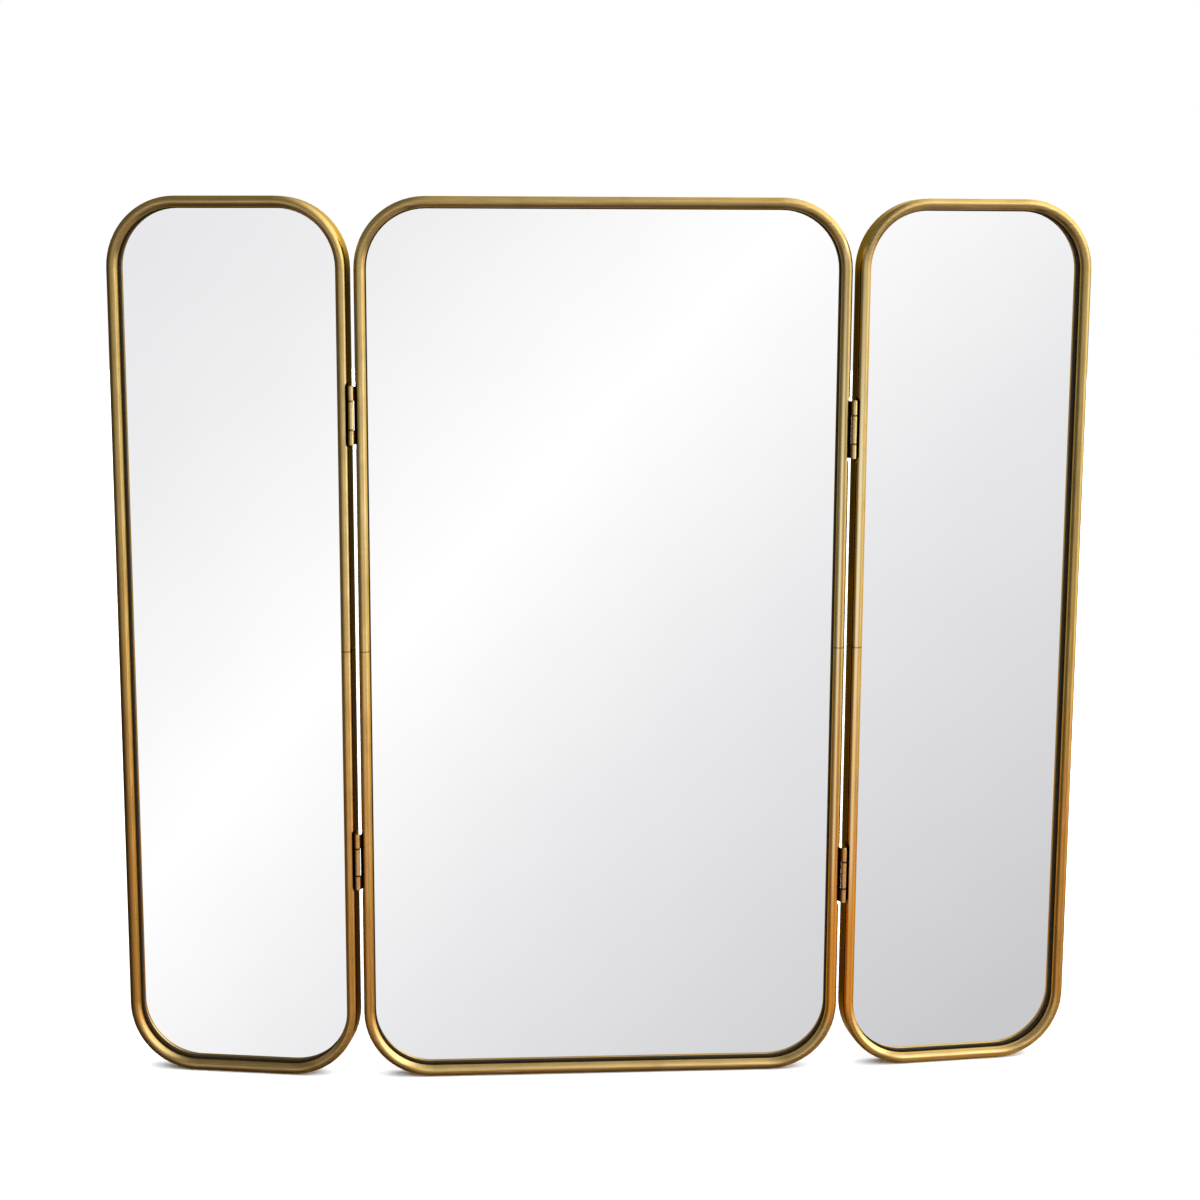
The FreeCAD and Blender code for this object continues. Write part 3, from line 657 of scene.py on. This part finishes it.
# Down the diagonal: bright, brightest, and then dimmer all the way.
SCREEN_SHADES = (
    (0.18, (0.861, 0.863, 0.879)),
    (0.27, (0.909, 0.909, 0.921)),
    (0.455, (1.080, 1.078, 1.080)),
    (0.64, (0.862, 0.864, 0.880)),
    (0.91, (0.625, 0.629, 0.642)),
)
# The room around the screens: from and to, then the light at each where it isn't 0 and 1.
# By turn to the right of straight ahead:
WINDOW_NEAR = (0.62, 0.98, 0.0, 1.7)
WINDOW_FAR = (2.3, 1.75)
LEFT_WALL = (-1.15, -0.53, 0.2, 1.0)
# By rise:
WINDOW_SILL = (-0.34, -0.22)
INTO_CEILING = (0.06, 0.30)
# By how far the way points back:
BEHIND = (0.2, 0.7)
REAR_WALL = (0.75, 0.97, 0.2, 0.8)
# By how far the way points to the right, or to either side:
CEILING_ACROSS = (-0.35, 0.75, 0.45, 3.2)
GROUND_ASIDE = (0.24, 0.08, 0.5, 1.5)
GROUND_RIGHT = (0.22, 0.34)
# By how far the way points up:
CEILING_TOP = (0.6, 0.97, 1.0, 0.85)
GROUND_DOWN = (-0.5, -0.95, 1.0, 0.35)
INTO_GROUND = (-0.41, -0.50)
GROUND_RIGHT_LIGHT = 1.3
# The least level distance that a rise is worked out over.
NEARLY_UPRIGHT = 0.05


def studio_room():
    """Three soft screens in front, shaded on one diagonal, with a window to the right of them."""
    world = bpy.data.worlds.new("studio")
    bpy.context.scene.world = world
    world.use_nodes = True
    tree = Tree(world.node_tree)
    where = tree.add("ShaderNodeTexCoord", output="Generated")
    right, back, up = tree.parts(where)
    turn = tree.math("ARCTAN2", right, tree.math("MULTIPLY", back, -1.0))
    level = tree.add("ShaderNodeVectorMath", {0: where, 1: (1, 1, 0)}, operation="MULTIPLY")
    reach = tree.add("ShaderNodeVectorMath", {0: level}, output="Value", operation="LENGTH")
    rise = tree.math("DIVIDE", up, tree.math("MAXIMUM", reach, NEARLY_UPRIGHT))

    across = 0.0
    for low, high, width in SCREENS:
        across = tree.math("ADD", tree.smooth(turn, low, high, 0.0, width, kind="LINEAR"), across)
    diagonal = tree.math("ADD", across, tree.smooth(rise, *SCREEN_DROP, kind="LINEAR"))
    screen = tree.ramp(tree.math("DIVIDE", diagonal, DIAGONAL), SCREEN_SHADES)

    window = tree.product(
        tree.smooth(turn, *WINDOW_NEAR), tree.smooth(turn, *WINDOW_FAR), tree.smooth(rise, *WINDOW_SILL)
    )
    around = tree.math("ADD", window, tree.smooth(turn, *LEFT_WALL))
    around = tree.blend(tree.smooth(back, *BEHIND), around, tree.smooth(back, *REAR_WALL))
    above = tree.product(tree.smooth(right, *CEILING_ACROSS), tree.smooth(up, *CEILING_TOP))
    aside = tree.math("ABSOLUTE", right)
    below = tree.product(tree.smooth(aside, *GROUND_ASIDE), tree.smooth(up, *GROUND_DOWN))
    below = tree.blend(tree.smooth(right, *GROUND_RIGHT), below, GROUND_RIGHT_LIGHT)
    light = tree.blend(tree.smooth(rise, *INTO_CEILING), around, above)
    light = tree.blend(tree.smooth(up, *INTO_GROUND), light, below)
    shader = tree.add("ShaderNodeBackground", {"Color": screen, "Strength": light})
    tree.add("ShaderNodeOutputWorld", {"Surface": shader})


def soft_sun(name, direction, strength, angle=60):
    """A wide sun that shows in no reflection. angle: its width in the sky, in degrees."""
    lamp = bpy.data.lights.new(name, "SUN")
    lamp.energy = strength
    lamp.angle = math.radians(angle)
    made = bpy.data.objects.new(name, lamp)
    made.rotation_mode = "QUATERNION"
    made.rotation_quaternion = Vector(direction).to_track_quat("-Z", "Y")
    made.visible_glossy = False
    bpy.context.scene.collection.objects.link(made)


studio_room()
soft_sun("overhead", (0.1, 0.25, -1), 2.2)
soft_sun("rear_fill", (-0.3, -1, -0.6), 0.8)


# Camera, at the photograph's place

PHOTO_WIDTH = 1200
FOCAL_PIXELS = 2050
SHIFT_PIXELS = (12.06, -18.38)
SENSOR = 36.0
CAMERA_PLACE = (-0.09559, -1.36084, 0.56247)
YAW, PITCH, ROLL = -0.0627, -0.1580, -0.0031


def photo_camera():
    turn = Matrix.Rotation(YAW, 3, "Z") @ Matrix.Rotation(PITCH, 3, "X") @ Matrix.Rotation(ROLL, 3, "Y")
    right, ahead, up = turn.col
    lens = bpy.data.cameras.new("photo_camera")
    lens.sensor_width = SENSOR
    lens.lens = FOCAL_PIXELS * SENSOR / PHOTO_WIDTH
    lens.shift_x, lens.shift_y = (pixels / PHOTO_WIDTH for pixels in SHIFT_PIXELS)
    made = bpy.data.objects.new("photo_camera", lens)
    axes = Matrix((right, up, -ahead)).transposed()
    made.matrix_world = Matrix.Translation(CAMERA_PLACE) @ axes.to_4x4()
    bpy.context.scene.collection.objects.link(made)
    bpy.context.scene.camera = made


photo_camera()
bpy.context.scene.view_settings.view_transform = "Standard"
